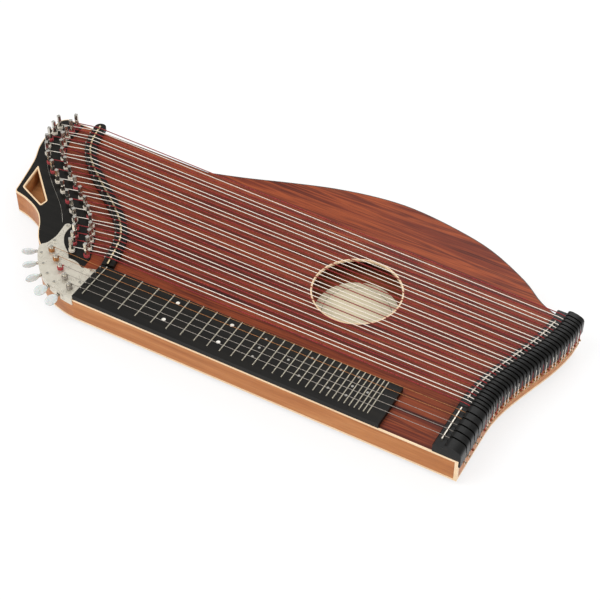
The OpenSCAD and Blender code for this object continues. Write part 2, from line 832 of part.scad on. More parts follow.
// Base of the gearing, with a pair of bearing lugs for each worm
module machine_frame() {
    floor_z = recess_z + frame_thickness;
    color("darkgoldenrod")
        difference() {
            union() {
                slab(inset(recess_line, 0.4), recess_z, floor_z);
                for (k = [0:melody_count - 1], side = [-1, 1])
                    translate([worm_at(k)[0], worm_at(k)[1], 0])
                        rotate([0, 0, fan(k)])
                            translate([side * lug_reach - lug_thickness / 2, -lug_width / 2, recess_z])
                                cube([lug_thickness, lug_width, worm_z + lug_width / 2 - recess_z]);
            }
            for (k = [0:melody_count - 1]) {
                translate([worm_at(k)[0], worm_at(k)[1], worm_z])
                    rotate([0, 90, fan(k)])
                        translate([0, 0, -12])
                            cylinder(r = shaft_r + running, h = 24, $fn = 32);
                translate([post_at(k)[0], post_at(k)[1], recess_z - cut])
                    cylinder(r = pivot_r + running, h = frame_thickness + 2 * cut, $fn = 24);
            }
        }
}

module feet() {
    color("#33302d")
        for (p = foot_places)
            translate([p[0], p[1], 0])
                rotate_extrude($fn = 48)
                    polygon([[0, 0], [foot_r - 1.5, 0], [foot_r, 1.5], [foot_r - 0.8, foot_height - 1.5],
                        [foot_r - 2, foot_height], [0, foot_height]]);
}

// String wound on a pin or a post, from the touching point downwards
module serving(c, angle, r, high) {
    steps = serving_turns * serving_steps;
    path = [for (k = [0:steps])
        let (a = angle + 360 * k / serving_steps)
        [c[0] + r * cos(a), c[1] + r * sin(a), high - serving_pitch * k / serving_steps]];
    tube(path, serving_d / 2, serving_d / 2, 4);
}

// Least gap of a winding to itself, measured between points on turns that pass each other
function serving_point(t, r) = [r * cos(360 * t), r * sin(360 * t), -serving_pitch * t];
function least_gap(r) = min([for (q = [0:0.01:0.5])
    norm(serving_point(0, r) - serving_point(0.75 + q, r))]) - serving_d;
echo(least_gap_on_pins = least_gap(serving_r), least_gap_on_posts = least_gap(post_serving_r));

// Outline of a button: an oval, a little fuller towards its tip
button_line = [for (a = [0:12:348])
    [button_length / 2 * cos(a), button_width / 2 * sin(a) * (1 + 0.1 * cos(a))]];

module button() {
    crown_r = 38;
    intersection() {
        translate([0, 0, -button_thickness])
            linear_extrude(2 * button_thickness)
                polygon(button_line);
        translate([0, 0, button_thickness / 2 - crown_r]) sphere(r = crown_r, $fn = 96);
        translate([0, 0, crown_r - button_thickness / 2]) sphere(r = crown_r, $fn = 96);
    }
}

module worm(k) {
    reach = button_reach[k];
    neck = reach - button_length;
    thread_low_r = thread_core_r - part_gap;
    thread_mid_r = (thread_tip_r + thread_low_r) / 2;
    journal_end = lug_reach + lug_thickness / 2 + 0.5;
    journal_start = lug_reach - lug_thickness / 2 - 0.8;
    steps = 12;
    turns = 2 * thread_half / worm_lead;
    translate([worm_at(k)[0], worm_at(k)[1], worm_z])
        rotate([0, 0, fan(k)]) {
            color("silver")
                union() {
                    rotate([0, 90, 0])
                        translate([0, 0, -journal_start - part_gap])
                            cylinder(r = thread_core_r, h = 2 * (journal_start + part_gap), $fn = 32);
                    rotate([0, 90, 0])
                        translate([0, 0, -journal_end])
                            cylinder(r = shaft_r, h = journal_end - journal_start, $fn = 32);
                    rotate([0, 90, 0])
                        translate([0, 0, journal_start])
                            cylinder(r = shaft_r, h = neck - journal_start, $fn = 32);
                    rotate([0, 90, 0])
                        translate([0, 0, lug_reach + lug_thickness / 2 + part_gap])
                            cylinder(r = shaft_r + 0.5, h = 1, $fn = 32);
                    rotate([0, 90, 0])
                        translate([0, 0, neck - 2.5])
                            cylinder(r1 = shaft_r, r2 = shaft_r + 0.5, h = 2.5 + part_gap, $fn = 32);
                    tube([for (q = [0:round(turns * steps)])
                        let (s = -thread_half + q * worm_lead / steps)
                        let (a = 90 + 360 * s / worm_lead)
                        [s, thread_mid_r * cos(a - 90), thread_mid_r * sin(a - 90)]],
                        (thread_tip_r - thread_low_r) / 2, gear_module * 0.9, 4, [1, 0, 0]);
                }
            color("gainsboro")
                translate([reach - button_length / 2 + part_gap, 0, 0])
                    rotate([button_roll[k], 0, 0])
                        button();
        }
}

module wheel() {
    linear_extrude(wheel_thickness)
        union() {
            circle(r = wheel_root_r, $fn = 48);
            for (n = [0:wheel_teeth - 1])
                rotate(360 * (n + 0.5) / wheel_teeth)
                    polygon([
                        [wheel_root_r - 0.4, -wheel_tooth * 0.75],
                        [wheel_root_r, -wheel_tooth * 0.72],
                        [wheel_pitch_r, -wheel_tooth / 2],
                        [wheel_tip_r, -wheel_tooth * 0.27],
                        [wheel_tip_r, wheel_tooth * 0.27],
                        [wheel_pitch_r, wheel_tooth / 2],
                        [wheel_root_r, wheel_tooth * 0.72],
                        [wheel_root_r - 0.4, wheel_tooth * 0.75]
                    ]);
        }
}

module post(k) {
    c = post_at(k);
    from = [-guide_reach, melody_y(melody_count - 1 - k)];
    floor_z = recess_z + frame_thickness;
    post_high = top_z + plate_thickness + post_stand;
    color("silver")
        translate([c[0], c[1], 0])
            difference() {
                union() {
                    translate([0, 0, recess_z]) cylinder(r = pivot_r, h = 4, $fn = 32);
                    translate([0, 0, floor_z + part_gap])
                        cylinder(r = post_r, h = post_high - floor_z - part_gap, $fn = 48);
                    translate([0, 0, worm_z - wheel_thickness / 2])
                        rotate([0, 0, fan(k) - 90])
                            wheel();
                }
                translate([-post_r - cut, -0.5, post_high - 2])
                    cube([2 * post_r + 2 * cut, 1, 3]);
            }
    color(k < 2 ? "peru" : "firebrick")
        serving(c, touch_angle(from, c, post_serving_r), post_serving_r, post_serving_high);
}

module tuning_pin(i) {
    c = pin_centre(i);
    high = top_z + pin_stand;
    color("silver")
        translate([c[0], c[1], 0])
            difference() {
                translate([0, 0, high - pin_length])
                    cylinder(r = pin_r, h = pin_length, $fn = 32);
                for (side = [0:3])
                    rotate([0, 0, 37 * i + 90 * side])
                        translate([head_flat / 2, -pin_r, high - pin_head])
                            cube([pin_r, 2 * pin_r, pin_head + cut]);
            }
    color(is_red(i) ? "firebrick" : "whitesmoke")
        serving(c, touch_angle(chord_start(i), c, serving_r), serving_r, serving_high);
}

// The part in its own place: centred in plan, feet on the table
module placed() {
    translate([-plan_centre[0], -plan_centre[1], 0]) children();
}

placed() soundboard();
placed() back_plate();
placed() side_ribs();
placed() pin_block();
placed() inner_frame();
placed() head_plate();
placed() bindings();
placed() fretboard();
placed() frets_and_markers();
placed() nut_strip();
placed() string_rods();
placed() tail_cap();
placed() string_pins();
placed() strings();
placed() machine_plate();
placed() machine_frame();
placed() feet();
for (k = [0:melody_count - 1])
    placed() worm(k);
for (k = [0:melody_count - 1])
    placed() post(k);
for (i = [0:chord_count - 1])
    placed() tuning_pin(i);
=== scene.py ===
import json
import math

import bpy
from mathutils import Matrix, Vector


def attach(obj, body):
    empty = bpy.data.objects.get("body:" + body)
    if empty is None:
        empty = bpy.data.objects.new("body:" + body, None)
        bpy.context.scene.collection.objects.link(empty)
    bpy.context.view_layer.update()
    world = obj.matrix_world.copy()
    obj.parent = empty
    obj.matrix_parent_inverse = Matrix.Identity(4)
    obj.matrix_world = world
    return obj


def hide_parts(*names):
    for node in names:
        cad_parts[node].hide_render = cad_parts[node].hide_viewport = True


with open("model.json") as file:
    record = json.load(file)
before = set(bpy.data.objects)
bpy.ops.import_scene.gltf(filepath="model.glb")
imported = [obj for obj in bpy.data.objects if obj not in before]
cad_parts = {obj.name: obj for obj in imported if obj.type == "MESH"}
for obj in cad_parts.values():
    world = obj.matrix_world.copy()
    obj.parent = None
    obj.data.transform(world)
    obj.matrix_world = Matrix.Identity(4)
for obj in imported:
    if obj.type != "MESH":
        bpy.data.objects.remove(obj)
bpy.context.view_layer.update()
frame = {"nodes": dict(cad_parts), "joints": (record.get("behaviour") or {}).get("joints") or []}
joints = {j["name"]: j for j in frame["joints"]}

# plan centre of the part, in the drawing's own millimetres from the nut line and the player's edge
planCentre = (141.05, 145.0)
topZ = 36.0


def at(x, y, z=0.0):
    return Vector(((x - planCentre[0]) / 1000, (y - planCentre[1]) / 1000, z / 1000))


def rgb(r, g, b):
    # screen colour 0 to 255 into the linear colour that nodes want
    out = []
    for c in (r, g, b):
        c = c / 255
        out.append(c / 12.92 if c <= 0.04045 else ((c + 0.055) / 1.055) ** 2.4)
    return (*out, 1.0)


# ---- camera

cameraLook = {
    "place": at(754.54, -865.08, 1160.16),
    "target": at(206.354, 112.766, 42.0),
    "lens": 89.70,
}
cameraData = bpy.data.cameras.new("camera")
camera = bpy.data.objects.new("camera", cameraData)
bpy.context.scene.collection.objects.link(camera)
cameraData.lens = cameraLook["lens"]
cameraData.sensor_width = 36
cameraData.clip_start, cameraData.clip_end = 0.05, 20
camera.location = cameraLook["place"]
camera.rotation_mode = "QUATERNION"
camera.rotation_quaternion = (cameraLook["target"] - cameraLook["place"]).to_track_quat("-Z", "Y")
bpy.context.scene.camera = camera
print("camera placed")


# ---- small helpers

def nothingSelected():
    if bpy.context.mode != "OBJECT":
        bpy.ops.object.mode_set(mode="OBJECT")
    bpy.ops.object.select_all(action="DESELECT")


def makeActive(obj):
    nothingSelected()
    obj.select_set(True)
    bpy.context.view_layer.objects.active = obj


def joined(objs, name):
    nothingSelected()
    for obj in objs:
        obj.select_set(True)
    bpy.context.view_layer.objects.active = objs[0]
    if len(objs) > 1:
        bpy.ops.object.join()
    objs[0].name = name
    return objs[0]


def settled(obj, smooth=30):
    # place, turn and scale go into the mesh, and normals point outwards
    makeActive(obj)
    if obj.type != "MESH":
        bpy.ops.object.convert(target="MESH")
        obj = bpy.context.view_layer.objects.active
    for modifier in list(obj.modifiers):
        bpy.ops.object.modifier_apply(modifier=modifier.name)
    bpy.ops.object.transform_apply(location=True, rotation=True, scale=True)
    bpy.ops.object.mode_set(mode="EDIT")
    bpy.ops.mesh.select_all(action="SELECT")
    bpy.ops.mesh.remove_doubles(threshold=0.000005)
    bpy.ops.mesh.normals_make_consistent(inside=False)
    bpy.ops.object.mode_set(mode="OBJECT")
    if smooth:
        bpy.ops.object.shade_smooth_by_angle(angle=math.radians(smooth))
    return obj


def wire(name, points, radius, rounds=2):
    # a round wire through the points, as a curve turned into a mesh
    nothingSelected()
    curve = bpy.data.curves.new(name, "CURVE")
    curve.dimensions = "3D"
    curve.bevel_depth = radius
    curve.bevel_resolution = rounds
    curve.use_fill_caps = True
    line = curve.splines.new("POLY")
    line.points.add(len(points) - 1)
    for spot, p in zip(line.points, points):
        spot.co = (*p, 1)
    obj = bpy.data.objects.new(name, curve)
    bpy.context.scene.collection.objects.link(obj)
    return settled(obj)


def dressed(obj, material):
    obj.data.materials.clear()
    obj.data.materials.append(material)
    return obj


def dressNode(node, material):
    obj = frame["nodes"][node]
    for place in obj.material_slots:
        place.material = material


# ---- materials: a little shorthand for wiring nodes

class Finish:
    def __init__(self, name):
        self.material = bpy.data.materials.new(name)
        self.material.use_nodes = True
        self.nodes = self.material.node_tree.nodes
        self.links = self.material.node_tree.links
        self.shader = self.nodes["Principled BSDF"]
        self.coords = self.nodes.new("ShaderNodeTexCoord").outputs["Object"]

    def node(self, kind, **values):
        made = self.nodes.new(kind)
        for key, value in values.items():
            if hasattr(made, key) and key not in made.inputs:
                setattr(made, key, value)
            else:
                made.inputs[key].default_value = value
        return made

    def link(self, source, target):
        self.links.new(source, target)

    def stretched(self, scale, shift=(0, 0, 0)):
        mapping = self.node("ShaderNodeMapping", Scale=scale, Location=shift)
        self.link(self.coords, mapping.inputs["Vector"])
        return mapping.outputs["Vector"]

    def noise(self, vector, scale, detail=4, rough=0.55, warp=0.0):
        made = self.node("ShaderNodeTexNoise", Scale=scale, Detail=detail, Roughness=rough,
                         Distortion=warp)
        self.link(vector, made.inputs["Vector"])
        return made.outputs["Fac"]

    def ramp(self, value, stops):
        made = self.nodes.new("ShaderNodeValToRGB")
        bar = made.color_ramp.elements
        while len(bar) < len(stops):
            bar.new(0.5)
        for spot, (place, colour) in zip(bar, stops):
            spot.position = place
            spot.color = colour if len(colour) == 4 else (*colour, 1)
        self.link(value, made.inputs["Fac"])
        return made.outputs["Color"]

    def mixed(self, factor, first, second, way="MIX"):
        made = self.nodes.new("ShaderNodeMix")
        made.data_type = "RGBA"
        made.blend_type = way
        # of the node's inputs, 0 is the factor and 6 and 7 are the two colours
        for value, place in ((factor, 0), (first, 6), (second, 7)):
            socket = made.inputs[place]
            if isinstance(value, (int, float, tuple)):
                socket.default_value = value
            else:
                self.link(value, socket)
        return made.outputs[2]

    def math(self, way, first, second):
        made = self.nodes.new("ShaderNodeMath")
        made.operation = way
        for value, socket in ((first, made.inputs[0]), (second, made.inputs[1])):
            if isinstance(value, (int, float)):
                socket.default_value = value
            else:
                self.link(value, socket)
        return made.outputs[0]

    def span(self, value, low, high, toLow=0.0, toHigh=1.0):
        made = self.nodes.new("ShaderNodeMapRange")
        for key, number in (("From Min", low), ("From Max", high), ("To Min", toLow), ("To Max", toHigh)):
            made.inputs[key].default_value = number
        self.link(value, made.inputs["Value"])
        return made.outputs["Result"]

    def axes(self):
        made = self.nodes.new("ShaderNodeSeparateXYZ")
        self.link(self.coords, made.inputs[0])
        return made.outputs

    def bump(self, height, strength, distance=0.001):
        made = self.node("ShaderNodeBump", Strength=strength, Distance=distance)
        self.link(height, made.inputs["Height"])
        self.link(made.outputs["Normal"], self.shader.inputs["Normal"])

    def set(self, **values):
        for key, value in values.items():
            socket = self.shader.inputs[key.replace("_", " ")]
            if isinstance(value, (int, float, tuple)):
                socket.default_value = value
            else:
                self.link(value, socket)
        return self


def wood(name, look):
    # streaks along X, fine pores and a lacquer; where asked, darker on the player's side: partly a deeper
    # wood tone, partly painted shade of the strings
    f = Finish(name)
    along, across = look["along"], look["across"]
    wide = f.noise(f.stretched((along, across, across)), 1.0, 5, 0.6, look["warp"])
    fine = f.noise(f.stretched((along * 3, across * 9, across * 9)), 1.0, 3, 0.6)
    pores = f.noise(f.stretched((along * 10, across * 26, across * 26)), 1.0, 2, 0.5)
    colour = f.ramp(wide, look["colours"])
    colour = f.mixed(0.5, colour, f.ramp(fine, [(0.3, look["fineDark"]), (0.7, (1, 1, 1))]), "MULTIPLY")
    poreTone = f.ramp(pores, [(0.35, (0.25, 0.2, 0.18)), (0.5, (1, 1, 1))])
    colour = f.mixed(look["pores"], colour, poreTone, "MULTIPLY")
    # painted shade: the strings' shadows over the top, together with a deeper wood tone, darken all of
    # the player's side
    if "toneAndStringShade" in look:
        tone = look["toneAndStringShade"]
        near = f.span(f.axes()["Y"], tone["from"] / 1000, tone["to"] / 1000, 1.0, 0.0)
        colour = f.mixed(near, colour, tone["by"], "MULTIPLY")
    rough = f.span(fine, 0.3, 0.7, look["rough"] - 0.06, look["rough"] + 0.06)
    f.set(Base_Color=colour, Roughness=rough, Specular_IOR_Level=look["shine"])
    f.set(Coat_Weight=look["coat"], Coat_Roughness=0.15, IOR=1.5)
    f.bump(pores, look["bump"], 0.0002)
    return f.material


veneerLook = {
    "along": 3.0, "across": 75.0, "warp": 0.6, "rough": 0.45, "coat": 0.02, "pores": 0.5, "bump": 0.25,
    # the player's side darker: a deeper wood tone and painted shade of the strings
    "shine": 0.2, "toneAndStringShade": {"from": 80, "to": 100, "by": (0.76, 0.74, 0.78, 1)},
    "fineDark": (0.5, 0.34, 0.28),
    "colours": [(0.30, rgb(58, 20, 14)), (0.42, rgb(122, 50, 28)), (0.50, rgb(164, 80, 42)),
                (0.58, rgb(104, 40, 24)), (0.70, rgb(182, 98, 54))],
}
sideLook = {
    "along": 6.0, "across": 90.0, "warp": 0.3, "rough": 0.42, "coat": 0.1, "pores": 0.2, "bump": 0.15,
    "shine": 0.25,
    "fineDark": (0.86, 0.74, 0.6),
    "colours": [(0.32, rgb(166, 100, 48)), (0.5, rgb(184, 118, 64)), (0.68, rgb(198, 136, 82))],
}
innerLook = {
    "along": 5.0, "across": 140.0, "warp": 0.1, "rough": 0.6, "coat": 0.0, "pores": 0.1, "bump": 0.2,
    "shine": 0.25,
    "fineDark": (0.85, 0.76, 0.66),
    "colours": [(0.3, rgb(160, 106, 60)), (0.7, rgb(190, 138, 88))],
}
ebonyLook = {
    "along": 6.0, "across": 120.0, "warp": 0.3, "rough": 0.44, "coat": 0.03, "pores": 0.4, "bump": 0.15,
    "shine": 0.2,
    "fineDark": (0.7, 0.68, 0.66),
    "colours": [(0.3, rgb(11, 10, 7)), (0.5, rgb(18, 16, 13)), (0.7, rgb(27, 24, 19))],
}
capLook = {
    "along": 9.0, "across": 90.0, "warp": 0.2, "rough": 0.32, "coat": 0.06, "pores": 0.2, "bump": 0.1,
    "shine": 0.2,
    "fineDark": (0.8, 0.8, 0.8),
    "colours": [(0.3, rgb(8, 8, 8)), (0.5, rgb(13, 13, 12)), (0.7, rgb(20, 19, 18))],
}


def metal(name, look):
    f = Finish(name)
    # cloudy tones, and fine scratches along X
    along, across = look["scale"] * 0.6, look["scale"] * 9
    cloud = f.noise(f.stretched((1, 1, 1)), look["scale"], 4, 0.6)
    scratch = f.noise(f.stretched((along, across, across)), 1.0, 3, 0.6)
    colour = f.mixed(cloud, look["dark"], look["light"])
    rough = f.span(scratch, 0.3, 0.7, look["rough"] - 0.07, look["rough"] + 0.07)
    f.set(Base_Color=colour, Metallic=1.0, Roughness=rough)
    f.bump(scratch, 0.08, 0.0002)
    return f.material


nickelLook = {"scale": 60, "dark": rgb(176, 172, 162), "light": rgb(214, 210, 200), "rough": 0.26}
brassLook = {"scale": 70, "dark": rgb(150, 116, 62), "light": rgb(206, 170, 100), "rough": 0.3}
steelLook = {"scale": 80, "dark": rgb(186, 182, 174), "light": rgb(236, 232, 224), "rough": 0.22}


def stringMaterial(name, light, dark, windings, metallic):
    # fine wrapping, as light and dark turns along the box's length
    f = Finish(name)
    spots = f.noise(f.stretched((240, 900, 900)), 1.0, 2, 0.5)
    turns = f.noise(f.stretched((windings, 40, 40)), 1.0, 1, 0.5)
    colour = f.mixed(f.span(turns, 0.35, 0.65), dark, light)
    f.set(Base_Color=colour, Metallic=metallic, Roughness=f.span(spots, 0.3, 0.7, 0.3, 0.44))
    f.bump(turns, 0.25, 0.0001)
    return f.material


silverString = stringMaterial("silverString", rgb(254, 248, 238), rgb(234, 222, 208), 1400, 0.1)
redString = stringMaterial("redString", rgb(160, 34, 38), rgb(108, 16, 22), 1100, 0.15)
bareSteel = stringMaterial("bareSteel", rgb(176, 168, 158), rgb(140, 132, 124), 1400, 0.8)
bareBrass = stringMaterial("bareBrass", rgb(196, 138, 84), rgb(150, 98, 56), 1400, 0.8)

veneer = wood("redBrownVeneer", veneerLook)
sideWood = wood("sideWood", sideLook)
innerWood = wood("innerWood", innerLook)
blackWood = wood("blackWood", ebonyLook)
capWood = wood("capWood", capLook)
nickel = metal("nickelSilver", nickelLook)
brass = metal("agedBrass", brassLook)
steel = metal("platedSteel", steelLook)


# where one finish gives way to another, in metres of the shared frame
edgeLook = {
    "farFrom": 0.081, "headEnd": -0.284, "above": 0.03,     # the dark line of the far edge
    "backInside": 0.0085, "boardFace": 0.04205, "dimDots": (0.02, 0.06),
    "tailPins": 0.2, "tailRods": 0.1,
}


def backMaterial():
    # brown veneer underneath, light wood on the face inside the box
    f = Finish("backPlate")
    grain = f.noise(f.stretched((4, 90, 90)), 1.0, 5, 0.6, 0.4)
    pores = f.noise(f.stretched((30, 700, 700)), 1.0, 2, 0.5)
    under = f.ramp(grain, [(0.3, rgb(70, 30, 20)), (0.5, rgb(150, 80, 46)), (0.7, rgb(110, 52, 32))])
    inside = f.ramp(grain, [(0.3, rgb(192, 138, 92)), (0.7, rgb(222, 176, 128))])
    colour = f.mixed(f.math("GREATER_THAN", f.axes()["Z"], edgeLook["backInside"]), under, inside)
    f.set(Base_Color=colour, Roughness=f.span(pores, 0.3, 0.7, 0.4, 0.55))
    f.bump(pores, 0.2, 0.0002)
    return f.material


def bindingMaterial():
    # light maple strips, but a dark line along the far edge of the top
    f = Finish("edgeBinding")
    x, y, z = f.axes()
    grain = f.noise(f.stretched((8, 60, 60)), 1.0, 4, 0.6, 0.2)
    light = f.ramp(grain, [(0.3, rgb(226, 192, 150)), (0.7, rgb(242, 216, 180))])
    dark = f.ramp(grain, [(0.3, rgb(34, 28, 24)), (0.7, rgb(58, 50, 42))])
    far = f.math("MULTIPLY", f.math("GREATER_THAN", y, edgeLook["farFrom"]),
                 f.math("GREATER_THAN", x, edgeLook["headEnd"]))
    far = f.math("MULTIPLY", far, f.math("GREATER_THAN", z, edgeLook["above"]))
    f.set(Base_Color=f.mixed(far, light, dark), Roughness=f.span(grain, 0.3, 0.7, 0.34, 0.46))
    f.set(Coat_Weight=0.1)
    f.bump(grain, 0.1, 0.0002)
    return f.material


def fretMaterial():
    # metal above the board's face, light inlay at its level, dimmer towards the high frets
    f = Finish("fretsAndDots")
    x, y, z = f.axes()
    isMetal = f.math("GREATER_THAN", z, edgeLook["boardFace"])
    cloud = f.noise(f.stretched((1, 1, 1)), 320, 3, 0.6)
    pearl = f.ramp(cloud, [(0.35, rgb(214, 208, 196)), (0.65, rgb(244, 240, 232))])
    pearl = f.mixed(f.span(x, *edgeLook["dimDots"]), pearl, (0.42, 0.42, 0.42, 1), "MULTIPLY")
    f.set(Base_Color=f.mixed(isMetal, pearl, rgb(178, 172, 156)), Metallic=isMetal,
          Roughness=f.span(cloud, 0.3, 0.7, 0.16, 0.26))
    f.bump(cloud, 0.06, 0.0002)
    return f.material


def smallPinMaterial():
    # bright pins by the nuts, darker brass ones in the tail
    f = Finish("smallPins")
    isTail = f.math("GREATER_THAN", f.axes()["X"], edgeLook["tailPins"])
    cloud = f.noise(f.stretched((1, 1, 1)), 400, 3, 0.6)
    bright = f.mixed(cloud, rgb(190, 186, 176), rgb(224, 220, 210))
    dull = f.mixed(cloud, rgb(150, 112, 60), rgb(216, 178, 110))
    f.set(Base_Color=f.mixed(isTail, bright, dull), Metallic=1.0,
          Roughness=f.span(cloud, 0.3, 0.7, 0.24, 0.38))
    f.bump(cloud, 0.08, 0.0002)
    return f.material


def rodMaterial():
    # beige rod at the nut, bright rods at the tail
    f = Finish("stringRods")
    isTail = f.math("GREATER_THAN", f.axes()["X"], edgeLook["tailRods"])
    cloud = f.noise(f.stretched((1, 1, 1)), 300, 3, 0.6)
    beige = f.mixed(cloud, rgb(146, 130, 98), rgb(192, 178, 146))
    bright = f.mixed(cloud, rgb(224, 216, 200), rgb(246, 240, 228))
    f.set(Base_Color=f.mixed(isTail, beige, bright), Metallic=1.0,
          Roughness=f.span(cloud, 0.3, 0.7, 0.2, 0.34))
    f.bump(cloud, 0.06, 0.0002)
    return f.material


def plateMaterial():
    # polished nickel silver with short engraved scrolls
    f = Finish("engravedPlate")
    wander = f.noise(f.stretched((1, 1, 1)), 70, 2, 0.5)
    swirl = f.node("ShaderNodeTexWave", wave_type="RINGS", Scale=95, Distortion=14, Detail=1)
    swirl.inputs["Detail Scale"].default_value = 1.6
    f.link(f.stretched((1, 1, 1)), swirl.inputs["Vector"])
    thin = f.math("GREATER_THAN", swirl.outputs["Fac"], 0.93)
    lines = f.math("MULTIPLY", thin, f.math("GREATER_THAN", wander, 0.5))
    cloud = f.noise(f.stretched((1, 1, 1)), 220, 4, 0.65)
    plain = f.mixed(cloud, rgb(204, 197, 180), rgb(232, 226, 212))
    f.set(Base_Color=f.mixed(f.math("MULTIPLY", lines, 0.42), plain, rgb(116, 106, 90)), Metallic=0.6,
          Roughness=f.span(cloud, 0.3, 0.7, 0.3, 0.48))
    f.bump(f.math("ADD", f.math("MULTIPLY", lines, -0.7), cloud), 0.2, 0.0002)
    return f.material


def pearlMaterial():
    # milky grey-white, with slow clouds
    f = Finish("pearlButton")
    cloud = f.noise(f.stretched((1, 1, 1)), 150, 4, 0.6, 1.2)
    colour = f.ramp(cloud, [(0.3, rgb(172, 180, 176)), (0.5, rgb(206, 210, 208)),
                            (0.7, rgb(186, 194, 194))])
    f.set(Base_Color=colour, Roughness=f.span(cloud, 0.3, 0.7, 0.16, 0.3))
    f.set(Coat_Weight=0.2, Coat_Roughness=0.15, Subsurface_Weight=0.1, IOR=1.5)
    f.bump(cloud, 0.05, 0.0002)
    return f.material


def silkMaterial(name, light, dark):
    # dull wound thread on the pins
    f = Finish(name)
    strands = f.noise(f.stretched((900, 900, 2600)), 1.0, 2, 0.5)
    f.set(Base_Color=f.mixed(strands, dark, light), Roughness=0.6, Sheen_Weight=0.3)
    f.bump(strands, 0.3, 0.0001)
    return f.material


def paperMaterial():
    # a bare paper disc: cream, with one thin ring near its edge
    f = Finish("paperDisc")
    centre = at(discLook["x"], discLook["y"])
    away = f.node("ShaderNodeVectorMath", operation="LENGTH")
    flat = f.stretched((1, 1, 0), shift=(-centre.x, -centre.y, 0))
    f.link(flat, away.inputs[0])
    radius = away.outputs["Value"]
    inner, outer = (r / 1000 for r in discLook["ring"])
    ring = f.math("MULTIPLY", f.math("GREATER_THAN", radius, inner), f.math("LESS_THAN", radius, outer))
    fibres = f.noise(f.stretched((1, 1, 1)), 260, 5, 0.6)
    cream = f.mixed(fibres, rgb(212, 200, 168), rgb(230, 220, 192))
    f.set(Base_Color=f.mixed(f.math("MULTIPLY", ring, 0.8), cream, rgb(70, 58, 48)), Roughness=0.8)
    f.bump(fibres, 0.15, 0.0002)
    return f.material


# every node of the frame gets its finish
nodeFinishes = {
    "soundboard": veneer, "back_plate": backMaterial(), "side_ribs": sideWood, "pin_block": innerWood,
    "inner_frame": innerWood, "head_plate": blackWood, "bindings": bindingMaterial(),
    "fretboard": blackWood,
    "frets_and_markers": fretMaterial(), "nut_strip": blackWood, "string_rods": rodMaterial(),
    "tail_cap": capWood, "string_pins": smallPinMaterial(), "machine_plate": plateMaterial(),
    "machine_frame": brass, "feet": blackWood,
}
for node, material in nodeFinishes.items():
    dressNode(node, material)
for node in frame["nodes"]:
    if node.startswith(("tuning_pin", "post", "worm")):
        dressNode(node, steel)
print("finishes on", len(frame["nodes"]), "nodes")


# ---- strings

stringLook = {
    "chords": 33, "firstY": 66.0, "pitch": 5.46875, "tailY": 60.5, "tailPitch": 5.03,
    "melodyY": 13.5, "melodyPitch": 9.2, "bridgeX": 421.0,
    "plain": 0.40, "wound": 0.55, "melody": 0.26,
    "overRod": 8.0, "overBar": 7.6, "overBridge": 12.8, "guideX": -5.5, "touch": 0.08, "dip": 0.6,
    # past the bridge: how far along, and how high over the top
    "tail": ((8, 12), (16, 11), (20.5, 8.6), (23.6, 4.6), (24.6, 0), (24.6, -12.9)),
    "red": (0, 2, 5, 8, 11, 13, 16, 19, 22, 25, 27, 29, 32),
}


def ease(t, power):
    t = min(max(t, 0), 1)
    return t * t * (3 - 2 * t) if power == 3 else t ** 3 * (6 * t * t - 15 * t + 10)


def nutX(y):
    # the nut rod's S curve, as in the solids
    return -3.5 - 0.238 * (y - 62) - 97.5 * ease((y - 79) / 161.5, 5)


def tailX(y):
    # the bridge rod's curve at the tail
    return stringLook["bridgeX"] + 35.6 * ease((y - 69) / 155, 3)


def chordEnd(i):
    y = stringLook["tailY"] + stringLook["tailPitch"] * i
    return tailX(y), y


def chordStart(i):
    first = stringLook["firstY"] + stringLook["pitch"] * i
    endX, endY = chordEnd(i)
    slope = (endY - first) / endX
    y = first
    # two rounds come close enough to where the string meets the rod
    for again in range(2):
        y = first + slope * nutX(y)
    return nutX(y), y


def tailRoute(r):
    # over the bridge rod, through the slot of the cap and down to the hitch pin
    over = (0, topZ + stringLook["overBridge"] + r + stringLook["touch"])
    return [over] + [(dx, topZ + up) for dx, up in stringLook["tail"]]


def touching(start, centre, radius):
    # where a string coming from start touches a winding, as an angle round its pin
    dx, dy = start[0] - centre[0], start[1] - centre[1]
    return math.atan2(dy, dx) + math.acos(radius / math.hypot(dx, dy))


windingLook = {
    "radius": 2.94, "wire": 0.52, "pitch": 1.3, "turns": 3, "stub": 3.3, "drawnOut": 3.2,
    "servingHigh": topZ + 6, "postHigh": topZ + 6, "cadRadius": 2.85 / math.cos(math.pi / 9),
}


def jointPlace(name):
    # a joint's axis, back in the drawing's millimetres
    x, y = joints[name]["pos_m"][:2]
    return x * 1000 + planCentre[0], y * 1000 + planCentre[1]


def freeEnd(start, centre):
    # where a winding's drawn-out end meets its string
    r, drawn = windingLook["cadRadius"], windingLook["drawnOut"]
    angle = touching(start, centre, r)
    tx, ty = centre[0] + r * math.cos(angle), centre[1] + r * math.sin(angle)
    away = math.hypot(start[0] - tx, start[1] - ty)
    return (tx + drawn * (start[0] - tx) / away, ty + drawn * (start[1] - ty) / away)


